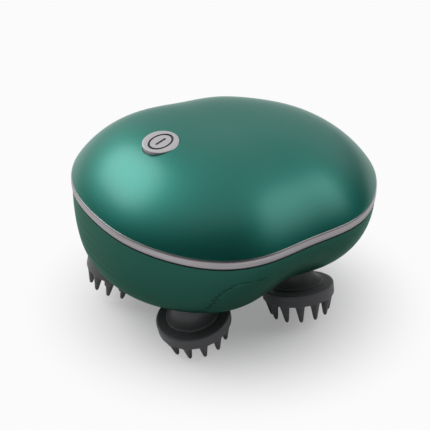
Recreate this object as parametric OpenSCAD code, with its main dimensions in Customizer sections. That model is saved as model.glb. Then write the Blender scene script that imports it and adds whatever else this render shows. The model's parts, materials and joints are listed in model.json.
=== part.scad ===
// Palm-held electric scalp massager. A domed casing stands on four soft prong
// heads. One motor turns a sun gear that drives the four head spindles, and
// each head leans on its spindle so that it kneads as it turns.

/* [Casing outline] */
// Mean radius of the casing at the trim band
body_r = 57; // [54:1:62]
// Extra length of the casing over its width, as a radius wave
oval = 0.4; // [0:0.1:2]
// How much the button end is wider than the nose
nose_taper = 2.2; // [0:0.1:3]
// How square the four lobes are
squareness = 1.4; // [0:0.1:2]
// Second wave of the lobes
lobe_wave = 0.85; // [0:0.05:1.5]
// Fine wave that flattens the sides between the lobes
side_flat = 0.35; // [0:0.05:0.6]
// Wall of the cover and the lower casing
wall = 2; // [1.6:0.1:2.4]

/* [Top cover] */
// Height of the dome above the trim band
dome_h = 22.5; // [20:0.1:27]
// How flat the crown is
crown_power = 3.3; // [2.6:0.1:4]
// How square the shoulder is
shoulder_power = 1.1; // [1.1:0.1:2]

/* [Trim band] */
// Height of the metal trim band
trim_h = 3.4; // [2.6:0.2:4]
// How far the trim stands proud of the cover
trim_proud = 0.35; // [0.1:0.05:0.6]
// How far the trim and its seal reach inwards
trim_depth = 3; // [2.4:0.2:3]
// Thickness of the dark parting seal
seal_t = 0.4; // [0.3:0.1:0.8]
// How far the seal sits back from the outline
seal_recess = 0.2; // [0.1:0.1:0.5]

/* [Lower casing] */
// Depth of the underside below the middle of the trim
base_drop = 27; // [26.5:0.5:30]
// How far the wall rolls inwards before the flat underside
base_roll = 12; // [10:0.5:13]
// How much longer than wide the underside is
base_oval = 8.9; // [6:0.1:9.5]
// How much the underside follows the taper of the outline
base_nose = 1.9; // [0:0.1:2.5]
// How much the nose is rounded off below the trim
nose_round = 3.5; // [0:0.1:4]
// Height below the trim of the upper edge of the side scoops
scoop_drop = 8.2; // [7:0.2:11]
// Depth of the side scoops
scoop_d = 0.7; // [0.3:0.1:1]
// Height of the grip ribs on the button end
rib_h = 0.2; // [0.15:0.05:0.5]
// Spacing of the grip ribs
rib_pitch = 3.2; // [3:0.2:3.6]
// Number of grip ribs
rib_count = 4; // [2:1:4]

/* [Heads] */
// Distance from the outline centre to the centre of the four heads
heads_back = 6.5; // [4:0.5:8]
// Half the distance between the heads along the casing
head_x = 23.5; // [22.5:0.25:24.5]
// Half the distance between the heads across the casing
head_y = 24; // [23:0.25:24.5]
// Lean of each head on its spindle
lean = 13; // [8:1:15]
// Direction that the front left head leans in
lean_front_left = 13; // [0:1:360]
// Direction that the front right head leans in
lean_front_right = 88; // [0:1:360]
// Direction that the rear right head leans in
lean_rear_right = 193; // [0:1:360]
// Direction that the rear left head leans in
lean_rear_left = 342; // [0:1:360]
// Depth of the lean point below the middle of the trim
pivot_drop = 28; // [28:0.5:30]
// Radius of the rim that carries the prongs
rim_r = 13.8; // [13:0.1:14.2]
// Depth of the rim top below the lean point
rim_top = 9; // [8.5:0.25:11]
// Thickness of the rim
rim_t = 4.8; // [3.5:0.1:5]
// Radius of the flared foot of the neck
bell_r = 9.8; // [9:0.1:10.5]
// Radius of the neck
neck_r = 6.4; // [5.8:0.1:6.8]
// Length of the prongs below the rim
prong_len = 7.3; // [5:0.1:8]
// Radius of a prong at its root
prong_root_r = 2.1; // [1.6:0.1:2.3]
// Radius of a prong's round tip
prong_tip_r = 0.75; // [0.5:0.05:1]
// Number of prongs on the rim
outer_prongs = 12; // [8:1:12]
// Number of prongs inside the rim
inner_prongs = 6; // [4:1:6]

/* [Collars and spindles] */
// Outer radius of the collar round each neck
collar_r = 11.2; // [10.6:0.1:11.8]
// Wall of the collar
collar_wall = 1.6; // [1.2:0.1:1.6]
// How far the collar's edge is set back above the underside
collar_set_in = 1.5; // [0.5:0.1:2]
// Radius of the spindles
spindle_r = 2; // [1.5:0.25:2.5]
// Outer radius of the bushes
bush_r = 4; // [3.5:0.25:4.25]
// Radial running clearance of the turning fits
run_gap = 0.05; // [0.02:0.01:0.09]
// Clearance between fixed pieces that fit together
fit_gap = 0.1; // [0.05:0.05:0.2]

/* [Gear train] */
// Tooth module of the gears
gear_m = 1.2; // [1.2:0.01:1.22]
// Teeth of the sun gear
sun_teeth = 32; // [32]
// Teeth of each head gear
head_teeth = 24; // [24]
// Teeth of the motor pinion
pinion_teeth = 12; // [12]
// Width of the gears
gear_w = 5; // [4:0.5:5.5]
// Play between the teeth
backlash = 0.2; // [0.1:0.05:0.3]
// Thickness of the two gear plates
plate_t = 2; // [1.6:0.1:2.4]

/* [Motor and battery] */
// Radius of the motor and its gearbox
motor_r = 10; // [9:0.25:10]
// Length of the motor can
motor_len = 15; // [12:0.5:15.5]
// Height of the gearbox
gearbox_h = 7.5; // [6:0.5:8]
// Radius of the battery cell
battery_r = 7; // [6:0.25:7]
// Length of the battery cell
battery_len = 50; // [44:1:52]

/* [Button] */
// Radius of the power button
button_r = 6.75; // [6:0.05:7]
// How far the button stands proud of the cover
button_proud = 0.9; // [0.7:0.1:1.2]
// Travel of the button
button_travel = 0.6; // [0.4:0.1:0.6]
// Gap round the button
button_gap = 0.2; // [0.15:0.05:0.3]
// Distance of the button from the outline centre
button_back = 26.7; // [25:0.1:28]
// Lean of the button towards the button end
button_pitch = 9.5; // [8:0.1:12]
// Lean of the button across the casing
button_roll = 7.5; // [0:0.1:8]
// Turn of the engraved mark from the long axis
mark_turn = 12; // [0:1:20]

/* [Hidden] */

// Facets of round pieces and of the shells
round_n = 48;
small_n = 24;
shell_n = 96;
cover_rings = 14;
casing_rings = 22;
inner_rings = 7;

// Each head: side along the casing, side across it, and direction of its lean
FRONT_LEFT = [1, 1, lean_front_left];
FRONT_RIGHT = [1, -1, lean_front_right];
REAR_RIGHT = [-1, -1, lean_rear_right];
REAR_LEFT = [-1, 1, lean_rear_left];
HEADS = [FRONT_LEFT, FRONT_RIGHT, REAR_RIGHT, REAR_LEFT];
function head_at(h) = [-heads_back + h[0] * head_x, h[1] * head_y, 0];
function head_lean(h) = h[2];

// Outline of the casing at the trim, as a radius at each angle
function outline_r(a) = body_r + oval * cos(2 * a) + nose_taper * cos(3 * a)
    - squareness * cos(4 * a) + lobe_wave * cos(6 * a) - side_flat * cos(8 * a);
function ring_pt(r, a, z) = [r * cos(a), r * sin(a), z];
function angles() = [for (i = [0 : shell_n - 1]) 360 * i / shell_n];
function smooth(x) = let (t = min(1, max(0, x))) t * t * (3 - 2 * t);

// The part stands on its lowest prong tips and is centred on its outline
prong_r = rim_r - prong_root_r - 0.35;
tip_in = 0.7;
tip_depth = rim_top + rim_t + prong_len - prong_tip_r;
stand_h = pivot_drop + tip_depth * cos(lean) + (prong_r - tip_in) * sin(lean) + prong_tip_r;

// Heights of the layers, measured from the middle of the trim
cover_z = trim_h / 2;
casing_z = -trim_h / 2 - seal_t;
floor_z = wall - base_drop;
shelf_t = 2.2;
plate_gap = 1.2;
lower_plate_z = -18;
gear_gap = 1;
gear_z = lower_plate_z + plate_t + 2 * gear_gap;
upper_plate_z = gear_z + gear_w + 1.5 * gear_gap;
deck_z = upper_plate_z + plate_t;
web_z = lower_plate_z - shelf_t - 2.2;
spindle_top = deck_z + 0.6;
carrier_z = web_z - 0.8;
carrier_t = 2.3;
carrier_r = 8.5;
hub_r = 4;
hub_len = 8;

// Teeth, and centre distances of the gear train
pressure = 20;
addendum = 0.8;
dedendum = 1.25;
flank_n = 4;
head_centre = norm([head_x, head_y]);
pinion_centre = gear_m * (sun_teeth + pinion_teeth) / 2;
SUN_AT = [-heads_back, 0, 0];
MOTOR_AT = [-heads_back + pinion_centre, 0, 0];
shaft_r = 1.5;
axle_r = 2.5;

// Posts between the plates stand clear of the gear tips, and the case screws
// keep a set distance from the outline
post_r = 2.5;
boss_r = 3.3;
nose_post_gap = 7.45;
back_post_gap = 7.35;
nose_post_y = 12;
function tip_r(z) = gear_m * (z / 2 + addendum);
nose_post_x = MOTOR_AT[0] + tip_r(pinion_teeth) + post_r + nose_post_gap;
back_post_x = SUN_AT[0] - tip_r(sun_teeth) - post_r - back_post_gap;
POSTS = [[back_post_x, 0, 0], [nose_post_x, nose_post_y, 0], [nose_post_x, -nose_post_y, 0]];
side_screw_in = 27.4;
back_screw_in = 10.3;
nose_screw_in = 13.7;
CASE_SCREWS = [[-heads_back, outline_r(90) - side_screw_in, 0],
    [-heads_back, side_screw_in - outline_r(90), 0],
    [back_screw_in - outline_r(180), 0, 0], [outline_r(0) - nose_screw_in, 0, 0]];
screw_r = 1.25;
screw_head_r = 2.3;
screw_head_h = 1.6;

module place() { translate([-centre_x, 0, stand_h]) children(); }
module rod(r, z0, z1) {
    translate([0, 0, z0]) cylinder(r = r, h = z1 - z0, $fn = r > 6 ? round_n : small_n);
}
module at_head(h) { translate(head_at(h)) children(); }
module leaning(h) {
    at_head(h) translate([0, 0, -pivot_drop]) rotate([0, 0, head_lean(h)])
        rotate([0, lean, 0]) children();
}

// A closed shell from rings of points between two end points
function shell_points(first, rings, last) = concat([first], [for (r = rings) each r], [last]);
function shell_faces(n, k) = concat(
    [for (i = [0 : n - 1]) [0, 1 + (i + 1) % n, 1 + i]],
    [for (j = [0 : k - 2], i = [0 : n - 1])
        let (a = 1 + j * n + i, b = 1 + j * n + (i + 1) % n) each [[a, b, b + n], [a, b + n, a + n]]],
    [for (i = [0 : n - 1]) let (s = 1 + (k - 1) * n) [s + i, s + (i + 1) % n, s + n]]);
module ring_shell(first, rings, last) {
    polyhedron(points = shell_points(first, rings, last), faces = shell_faces(shell_n, len(rings)));
}

// Dome of the cover: s runs from the crown to the rim, t is the wall taken off
function dome_z(s, t) = cover_z + (dome_h - t) * pow(1 - pow(s, crown_power), 1 / shoulder_power);
function dome_ring(s, t) = [for (a = angles()) ring_pt((outline_r(a) - t) * s, a, dome_z(s, t))];
function dome_at(p, t) = dome_z(norm(p) / (outline_r(atan2(p[1], p[0])) - t), t);
function rim_share(i, n) = sin(90 * i / n);
// A boss ends inside the wall, below the lowest point of the cover over it
function boss_top(p) = dome_at(p * (1 + boss_r / norm(p)), 0) - wall / 2;

// Bowl of the lower casing: q runs from the rim to the flat underside
depth_power = 1.053;
roll_power = 1.25;
function bowl_f(q) = pow(sin(90 * q), depth_power);
function bowl_r(a, q) = outline_r(a) - base_roll * (1 - pow(cos(90 * q), roll_power))
    + (base_oval * cos(2 * a) + base_nose * cos(3 * a) - nose_round * pow(max(0, cos(a)), 16))
    * pow(bowl_f(q), 1.5);
function bowl_z(q, t) = casing_z - (base_drop + casing_z - t) * bowl_f(q);
// Radius of the inner wall at an angle and height
function inner_q(z) = asin(pow((casing_z - z) / (base_drop + casing_z - wall), 1 / depth_power)) / 90;
function inner_r(a, z) = bowl_r(a, inner_q(z)) - wall - scoop_d;

// Shallow scoops in the two sides and ribs on the button end
scoop_from = 124;
scoop_to = 64;
edge_w = 1.2;
function side_angle(a) = a > 180 ? 360 - a : a;
function scoop(a, z) = let (s = side_angle(a))
    scoop_d * smooth((scoop_from - s - max(0, -10 - z) * 0.35) / 6) * smooth((s - scoop_to) / 14)
    * smooth((-scoop_drop - z) / edge_w) * smooth((z + base_drop - 1) / 5);
rib_span = 24;
rib_start = 8;
function ribs(a, z) = let (u = (-rib_start - z) / rib_pitch, s = side_angle(a))
    u <= 0 || u >= rib_count ? 0
    : rib_h * pow(sin(180 * u), 2) * smooth((s - 180 + rib_span) / rib_span * 1.6);
function casing_ring(q) = [for (a = angles()) let (z = bowl_z(q, 0))
    ring_pt(bowl_r(a, q) - scoop(a, z) + ribs(a, z), a, z)];
function casing_inner_ring(q) = [for (a = angles()) ring_pt(bowl_r(a, q) - wall - scoop_d, a,
    bowl_z(q, q > 0 ? wall : 0))];

side_x = concat([outline_r(0) + trim_proud, -outline_r(180) - trim_proud],
    [for (i = [0 : casing_rings], p = casing_ring(i / casing_rings)) p[0]]);
centre_x = (max(side_x) + min(side_x)) / 2;

module outline_slab(inset, z0, z1) {
    translate([0, 0, z0]) linear_extrude(z1 - z0)
        polygon([for (a = angles()) let (r = outline_r(a) - inset) [r * cos(a), r * sin(a)]]);
}
module plate_slab(z, gap) {
    translate([0, 0, z]) linear_extrude(plate_t)
        polygon([for (a = angles()) let (r = inner_r(a, z) - gap) [r * cos(a), r * sin(a)]]);
}

// Involute spur gear with its tooth number 0 on the X axis
function inv(a) = tan(a) * 180 / PI - a;
function tooth_half(z, r) = let (rb = gear_m * z / 2 * cos(pressure))
    90 / z - backlash / 2 / (gear_m * z / 2) * 90 / PI + inv(pressure)
    - (r > rb ? inv(acos(rb / r)) : 0);
function flank_radii(z) = let (rp = gear_m * z / 2, rb = rp * cos(pressure),
    r0 = max(rb, rp - dedendum * gear_m), r1 = rp + addendum * gear_m)
    concat(r0 > rp - dedendum * gear_m ? [rp - dedendum * gear_m] : [],
        [for (i = [0 : flank_n]) r0 + (r1 - r0) * i / flank_n]);
function polar(r, a) = [r * cos(a), r * sin(a)];
function tooth(z, c) = let (f = flank_radii(z), n = len(f)) concat(
    [for (i = [0 : n - 1]) polar(f[i], c - tooth_half(z, f[i]))],
    [for (i = [n - 1 : -1 : 0]) polar(f[i], c + tooth_half(z, f[i]))]);
module spur_gear(z) {
    linear_extrude(gear_w) polygon([for (i = [0 : z - 1]) each tooth(z, 360 * i / z)]);
}
// Turn that puts a gear in mesh with the sun gear, which has a tooth on the X axis
function mesh_turn(dir, z) = dir + 180 + 180 / z + dir * sun_teeth / z;

// Casing
module top_cover() {
    color("#1f6f5c") place() difference() {
        union() {
            ring_shell([0, 0, dome_z(0, 0)],
                concat([for (i = [1 : cover_rings]) dome_ring(rim_share(i, cover_rings), 0)],
                    [for (i = [inner_rings : -1 : 1]) dome_ring(rim_share(i, inner_rings), wall)]),
                [0, 0, dome_z(0, wall)]);
            for (p = CASE_SCREWS) translate(p) rod(boss_r, casing_z + fit_gap, boss_top(p));
            button_frame() rod(guide_r, guide_top, guide_top + seat_t);
        }
        for (p = CASE_SCREWS) translate(p) rod(screw_r, casing_z - 1, casing_z + 8);
        button_frame() rod(button_r + button_gap, -10, 6);
    }
}
module trim_ring() {
    color("#b9b4b6") place() difference() {
        outline_slab(-trim_proud, -trim_h / 2, trim_h / 2);
        outline_slab(trim_depth, -trim_h, trim_h);
    }
}
module parting_seal() {
    color("#2b1c20") place() difference() {
        outline_slab(seal_recess, casing_z, -trim_h / 2);
        outline_slab(trim_depth, casing_z - 1, 0);
    }
}
module lower_casing() {
    color("#1f5a4c") place() difference() {
        ring_shell([0, 0, -base_drop],
            concat([for (i = [casing_rings : -1 : 0]) casing_ring(i / casing_rings)],
                [for (i = [0 : inner_rings]) casing_inner_ring(i / inner_rings)]),
            [0, 0, floor_z]);
        for (h = HEADS) at_head(h) rod(collar_r + fit_gap, -base_drop - 1, lower_plate_z);
        for (p = CASE_SCREWS) translate(p) {
            rod(screw_r + 0.2, -base_drop - 1, 0);
            rod(screw_head_r + 0.2, -base_drop - 1, screw_seat_z);
        }
        translate(SUN_AT) rod(pad_r + fit_gap, -base_drop - 1, floor_z + 1);
    }
}
screw_seat_z = floor_z + 2;
pad_r = 8;

// Collars, seals and bushes
module collar(h) {
    color("#3a3a3c") place() at_head(h) difference() {
        rod(collar_r, -base_drop + collar_set_in, lower_plate_z);
        rod(collar_r - collar_wall, -base_drop - 5, web_z);
        rod(collar_r - collar_wall, web_z + shelf_t, 0);
        rod(seal_r, -base_drop, 0);
    }
}
seal_r = 5;
module collar_front_left() { collar(FRONT_LEFT); }
module collar_front_right() { collar(FRONT_RIGHT); }
module collar_rear_left() { collar(REAR_LEFT); }
module collar_rear_right() { collar(REAR_RIGHT); }
module lip_seals() {
    color("#1c1c1e") place() for (h = HEADS) at_head(h) difference() {
        rod(seal_r, web_z, web_z + shelf_t);
        rod(spindle_r + run_gap, web_z - 1, web_z + 4);
    }
}
bush_flange_r = 5.2;
bush_flange_t = 0.8;
module lower_bushes() {
    color("#b08d4a") place() for (h = HEADS) at_head(h) difference() {
        union() {
            rod(bush_r, lower_plate_z, lower_plate_z + plate_t);
            rod(bush_flange_r, lower_plate_z + plate_t, lower_plate_z + plate_t + bush_flange_t);
        }
        rod(spindle_r + run_gap, -base_drop, 0);
    }
}
module upper_bushes() {
    color("#b08d4a") place() for (h = HEADS) at_head(h) difference() {
        union() {
            rod(bush_r, upper_plate_z, deck_z);
            rod(bush_flange_r, upper_plate_z - bush_flange_t, upper_plate_z);
        }
        rod(spindle_r + run_gap, -base_drop, 0);
    }
}

// Gear plates and their fasteners
module lower_plate() {
    color("#d8d4c8") place() difference() {
        plate_slab(lower_plate_z, plate_gap);
        for (h = HEADS) at_head(h) rod(bush_r + fit_gap, -base_drop, 0);
        for (p = CASE_SCREWS) translate(p) rod(boss_r + 0.4, -base_drop, 0);
        for (p = POSTS) translate(p) rod(screw_r + 0.1, -base_drop, 0);
        translate(SUN_AT) rod(axle_r, -base_drop, 0);
    }
}
module upper_plate() {
    color("#d8d4c8") place() difference() {
        plate_slab(upper_plate_z, plate_gap);
        for (h = HEADS) at_head(h) rod(bush_r + fit_gap, -base_drop, 0);
        for (p = CASE_SCREWS) translate(p) rod(boss_r + 0.4, -base_drop, 0);
        for (p = POSTS) translate(p) rod(screw_r + 0.1, -base_drop, 0);
        translate(SUN_AT) rod(axle_r, -base_drop, 0);
        translate(MOTOR_AT) rod(gearbox_nose_r + fit_gap, -base_drop, 0);
        translate(MOTOR_AT) for (s = [-1, 1]) translate([0, s * motor_screw_y, 0])
            rod(screw_r * 0.8 + 0.1, -base_drop, 0);
    }
}
module lower_standoffs() {
    color("#c9a95c") place() for (p = POSTS) translate(p) difference() {
        rod(post_r, floor_z, lower_plate_z);
        rod(screw_r, lower_plate_z - 5, 0);
    }
}
module upper_standoffs() {
    color("#c9a95c") place() for (p = POSTS) translate(p) difference() {
        rod(post_r, lower_plate_z + plate_t, upper_plate_z);
        rod(screw_r, -base_drop, 0);
    }
}
module plate_screws() {
    color("#8d9094") place() for (p = POSTS) translate(p) {
        rod(screw_r - 0.05, lower_plate_z - 4.5, deck_z);
        rod(screw_head_r, deck_z, deck_z + screw_head_h);
    }
}
module screw_pillars() {
    color("#c9a95c") place() for (p = CASE_SCREWS) translate(p) difference() {
        rod(boss_r, floor_z, casing_z);
        rod(screw_r + 0.2, -base_drop, 0);
        rod(screw_head_r + 0.2, -base_drop, screw_seat_z);
    }
}
module case_screws() {
    color("#8d9094") place() for (p = CASE_SCREWS) translate(p) difference() {
        union() {
            rod(screw_r - 0.05, screw_seat_z, casing_z + 7);
            rod(screw_head_r, screw_seat_z - screw_head_h, screw_seat_z);
        }
        translate([0, 0, screw_seat_z - screw_head_h - 0.1]) cylinder(r = 1.1, h = 1, $fn = 6);
    }
}
module sun_axle() {
    color("#a6a9ad") place() translate(SUN_AT) rod(axle_r, lower_plate_z, deck_z);
}

// Motor, battery and boards
gearbox_nose_r = 4;
motor_screw_y = 7.5;
end_cap_h = 2;
// Flats on the two sides of the can
flat_cut = 0.8;
flat_from = 2;
module gearbox_housing() {
    color("#c4c6c8") place() translate(MOTOR_AT) difference() {
        union() {
            rod(motor_r, deck_z, deck_z + gearbox_h);
            rod(gearbox_nose_r, upper_plate_z, deck_z);
        }
        rod(shaft_r + run_gap, -base_drop, deck_z + gearbox_h - 1);
        for (s = [-1, 1]) translate([0, s * motor_screw_y, 0]) rod(screw_r * 0.8, -base_drop, deck_z + 4);
    }
}
module gearbox_screws() {
    color("#8d9094") place() translate(MOTOR_AT) for (s = [-1, 1]) translate([0, s * motor_screw_y, 0]) {
        rod(screw_r * 0.8 - 0.05, upper_plate_z, deck_z + 3.5);
        rod(1.7, upper_plate_z - 1.1, upper_plate_z);
    }
}
module motor_can() {
    color("#b4b7ba") place() translate(MOTOR_AT) difference() {
        rod(motor_r, deck_z + gearbox_h, deck_z + gearbox_h + motor_len);
        for (s = [-1, 1]) translate([s * (2 * motor_r - flat_cut), 0, deck_z + gearbox_h + flat_from])
            translate([-motor_r, -motor_r, 0]) cube([2 * motor_r, 2 * motor_r, motor_len]);
    }
}
module motor_end_cap() {
    color("#2e4f80") place() translate(MOTOR_AT) {
        rod(motor_r - 2, deck_z + gearbox_h + motor_len, deck_z + gearbox_h + motor_len + end_cap_h);
    }
}
cradle_floor = 1.2;
cradle_end = 3;
inner_gap = 0.2;
// The cell lies beside the side screws, and the board beside the cell
BATTERY_AT = [-heads_back - boss_r - inner_gap - battery_r, 0, 0];
battery_z = deck_z + cradle_floor + battery_r;
module battery_cell() {
    color("#2f6fb0") place() translate([BATTERY_AT[0], 0, battery_z]) rotate([90, 0, 0]) {
        cylinder(r = battery_r, h = battery_len, center = true, $fn = round_n);
        cylinder(r = 2.2, h = battery_len + 2, center = true, $fn = round_n);
    }
}
module battery_cradle() {
    color("#202224") place() translate([BATTERY_AT[0], 0, deck_z]) difference() {
        translate([-battery_r, -battery_len / 2 - cradle_end, 0])
            cube([2 * battery_r, battery_len + 2 * cradle_end, battery_r]);
        translate([0, 0, battery_z - deck_z]) rotate([90, 0, 0])
            cylinder(r = battery_r + fit_gap, h = battery_len + 2.4, center = true, $fn = round_n);
    }
}
board_x = 15;
board_gap = 1;
BOARD_AT = [BATTERY_AT[0] - battery_r - board_gap - board_x / 2, 0, 0];
board_y = 34;
board_t = 1.6;
board_z = deck_z + 4.5;
module main_board() {
    color("#1d5b34") place() translate(BOARD_AT) difference() {
        translate([-board_x / 2, -board_y / 2, board_z]) cube([board_x, board_y, board_t]);
        for (x = [-1, 1], y = [-1, 1]) translate([x * (board_x / 2 - 2), y * (board_y / 2 - 3), 0])
            rod(0.9, 0 - base_drop, 20);
    }
}
module board_posts() {
    color("#d8d4c8") place() translate(BOARD_AT)
        for (x = [-1, 1], y = [-1, 1]) translate([x * (board_x / 2 - 2), y * (board_y / 2 - 3), 0]) {
            rod(1.7, deck_z, board_z);
            rod(0.85, board_z, board_z + board_t + 0.5);
        }
}
module control_chip() {
    color("#1a1a1c") place() translate(BOARD_AT)
        translate([-4, -4, board_z + board_t]) cube([8, 8, 1.2]);
}
module capacitors() {
    color("#39424e") place() translate(BOARD_AT)
        for (y = [-10, 10]) translate([-3, y, 0]) rod(2, board_z + board_t, board_z + board_t + 4);
}

// Charging pad in the underside
contact_r = 1.3;
magnet_r = 2;
module contact_block() {
    color("#26272a") place() translate(SUN_AT) difference() {
        union() {
            rod(pad_r, -base_drop, floor_z);
            rod(pad_r + 1.5, floor_z, floor_z + 1.5);
        }
        for (s = [-1, 1]) {
            translate([s * 3.2, 0, 0]) rod(contact_r, -base_drop - 1, 0);
            translate([0, s * 4.8, 0]) rod(magnet_r, floor_z - 0.6, 0);
        }
    }
}
module charge_contacts() {
    color("#cfae5a") place() translate(SUN_AT)
        for (s = [-1, 1]) translate([s * 3.2, 0, 0]) rod(contact_r, -base_drop, floor_z + 2.5);
}
module dock_magnets() {
    color("#9a9da1") place() translate(SUN_AT)
        for (s = [-1, 1]) translate([0, s * 4.8, 0]) rod(magnet_r, floor_z - 0.6, floor_z + 1.5);
}

// Power button, in its own leaning frame with its origin on the cover
BUTTON_AT = [-button_back, 0, 0];
module button_frame() {
    translate([BUTTON_AT[0], 0, dome_at(BUTTON_AT, 0)])
        rotate([button_roll, -button_pitch, 0]) children();
}
cap_t = 2.6;
stem_r = 1.6;
stem_top = button_proud - cap_t;
guide_r = button_r + 2.5;
guide_top = -wall - 2.3;
// Thickness of the cover's seat for the guide
seat_t = 1.8;
web_top = -4.6;
web_bottom = -6.2;
flange_bottom = -7;
switch_top = flange_bottom - button_travel - 0.1;
switch_h = 3;
actuator_h = 0.6;
board_top = switch_top - actuator_h - switch_h;
mark_d = 0.35;
module button_cap() {
    color("#a9acae") place() button_frame() difference() {
        translate([0, 0, stem_top]) rotate_extrude($fn = round_n) polygon([[0, 0], [button_r, 0],
            [button_r, cap_t - 0.3], [button_r - 0.3, cap_t], [0, cap_t]]);
        rod(stem_r + 0.02, stem_top - 1, stem_top + 1.2);
        rotate([0, 0, mark_turn]) {
            translate([0, 0, button_proud - mark_d]) {
                difference() {
                    oval_pin(0.76, 0.59, 1);
                    translate([0, 0, -1]) oval_pin(0.66, 0.49, 3);
                }
                translate([-button_r * 0.3, 0, 0]) cylinder(r = 0.35, h = 1, $fn = 24);
                translate([button_r * 0.3, 0, 0]) cylinder(r = 0.35, h = 1, $fn = 24);
                translate([-button_r * 0.3, -0.35, 0]) cube([button_r * 0.6, 0.7, 1]);
            }
        }
    }
}
// An oval prism whose half-widths are shares of the button's radius
module oval_pin(a, b, h) {
    linear_extrude(h) polygon([for (i = [0 : 47])
        [button_r * a * cos(7.5 * i), button_r * b * sin(7.5 * i)]]);
}
module button_plunger() {
    color("#4a4d50") place() button_frame() {
        rod(stem_r, flange_bottom, stem_top + 1.2);
        rod(stem_r + 1, flange_bottom, web_bottom - 0.05);
    }
}
module button_guide() {
    color("#2c2e30") place() button_frame() difference() {
        rod(guide_r, board_top, guide_top);
        rod(guide_r - 1.2, board_top - 1, web_bottom);
        rod(guide_r - 1.2, web_top, 0);
        rod(stem_r + run_gap, -20, 0);
    }
}
module switch_board() {
    color("#1d5b34") place() button_frame() rod(guide_r, board_top - 1.2, board_top);
}
module tact_switch() {
    color("#191a1c") place() button_frame() {
        translate([-3, -3, board_top]) cube([6, 6, switch_h]);
        rod(1.4, board_top + switch_h, switch_top);
    }
}

// Turning pieces
module motor_pinion() {
    color("#c9a95c") place() translate(MOTOR_AT) {
        translate([0, 0, gear_z]) rotate([0, 0, mesh_turn(0, pinion_teeth)]) spur_gear(pinion_teeth);
        rod(shaft_r, gear_z, deck_z + gearbox_h - 1.2);
    }
}
module sun_gear() {
    color("#e8e4d8") place() translate(SUN_AT) difference() {
        union() {
            translate([0, 0, gear_z]) spur_gear(sun_teeth);
            rod(5.5, gear_z - gear_gap, gear_z + gear_w + gear_gap);
        }
        rod(axle_r + run_gap, -base_drop, 0);
    }
}
module head_gear(h) {
    color("#e8e4d8") place() at_head(h) difference() {
        union() {
            translate([0, 0, gear_z])
                rotate([0, 0, mesh_turn(atan2(h[1] * head_y, h[0] * head_x), head_teeth)])
                spur_gear(head_teeth);
            rod(5, gear_z - gear_gap, gear_z + gear_w);
        }
        rod(spindle_r, -base_drop, 0);
    }
}
module gear_front_left() { head_gear(FRONT_LEFT); }
module gear_front_right() { head_gear(FRONT_RIGHT); }
module gear_rear_left() { head_gear(REAR_LEFT); }
module gear_rear_right() { head_gear(REAR_RIGHT); }
module spindle(h) {
    color("#a6a9ad") place() at_head(h) rod(spindle_r, carrier_z - carrier_t + 0.6, spindle_top);
}
module spindle_front_left() { spindle(FRONT_LEFT); }
module spindle_front_right() { spindle(FRONT_RIGHT); }
module spindle_rear_left() { spindle(REAR_LEFT); }
module spindle_rear_right() { spindle(REAR_RIGHT); }
module carrier(h) {
    color("#2a2b2d") place() difference() {
        union() {
            at_head(h) rod(carrier_r, carrier_z - carrier_t, carrier_z);
            leaning(h) rod(hub_r, -hub_len, 3.2);
        }
        at_head(h) rod(spindle_r, carrier_z - carrier_t + 0.6, carrier_z + 1);
    }
}
module carrier_front_left() { carrier(FRONT_LEFT); }
module carrier_front_right() { carrier(FRONT_RIGHT); }
module carrier_rear_left() { carrier(REAR_LEFT); }
module carrier_rear_right() { carrier(REAR_RIGHT); }

// Soft head: neck, bell and rim in one turning, with tapered prongs below
rim_bottom = rim_top + rim_t;
module head_body() {
    rotate_extrude($fn = round_n) polygon([[0, -1], [neck_r - 0.4, -1], [neck_r, -1.5],
        [neck_r + 0.05, -rim_top + 5.4], [neck_r + 0.3, -rim_top + 4],
        [neck_r + 0.8, -rim_top + 2.9], [neck_r + 1.6, -rim_top + 2], [bell_r - 0.8, -rim_top + 1.4],
        [bell_r - 0.1, -rim_top + 1.1], [bell_r, -rim_top + 0.7], [bell_r - 0.3, -rim_top],
        [rim_r - 0.7, -rim_top], [rim_r - 0.15, -rim_top - 0.3], [rim_r, -rim_top - 0.9],
        [rim_r - 0.1, -rim_bottom + 0.3], [rim_r - 0.3, -rim_bottom], [0, -rim_bottom]]);
}
// A prong tapers from a root inside the rim to a round tip
module prong(r, len, tip_shift) {
    drop = len + prong_root_in - prong_tip_r;
    reach = norm([tip_shift, drop]);
    translate([r, 0, prong_root_in - rim_bottom]) rotate([0, 180 + atan2(tip_shift, drop), 0])
        rotate_extrude($fn = 24) polygon(concat([[0, 0], [prong_root_r, 0]],
            [for (a = [0 : 22.5 : 67.5]) [prong_tip_r * cos(a), reach + prong_tip_r * sin(a)]],
            [[0, reach + prong_tip_r]]));
}
prong_root_in = 0.3;
inner_prong_r = 6;
module head(h) {
    color("#343437") place() leaning(h) difference() {
        union() {
            head_body();
            for (i = [0 : outer_prongs - 1]) rotate([0, 0, 360 * i / outer_prongs])
                prong(prong_r, prong_len, tip_in);
            for (i = [0 : inner_prongs - 1]) rotate([0, 0, 360 * (i + 0.5) / inner_prongs])
                prong(inner_prong_r, prong_len - 0.6, 0);
            prong(0, prong_len - 1, 0);
        }
        rod(hub_r + 0.02, -hub_len - 0.2, 1);
    }
}
module head_front_left() { head(FRONT_LEFT); }
module head_front_right() { head(FRONT_RIGHT); }
module head_rear_left() { head(REAR_LEFT); }
module head_rear_right() { head(REAR_RIGHT); }

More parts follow.
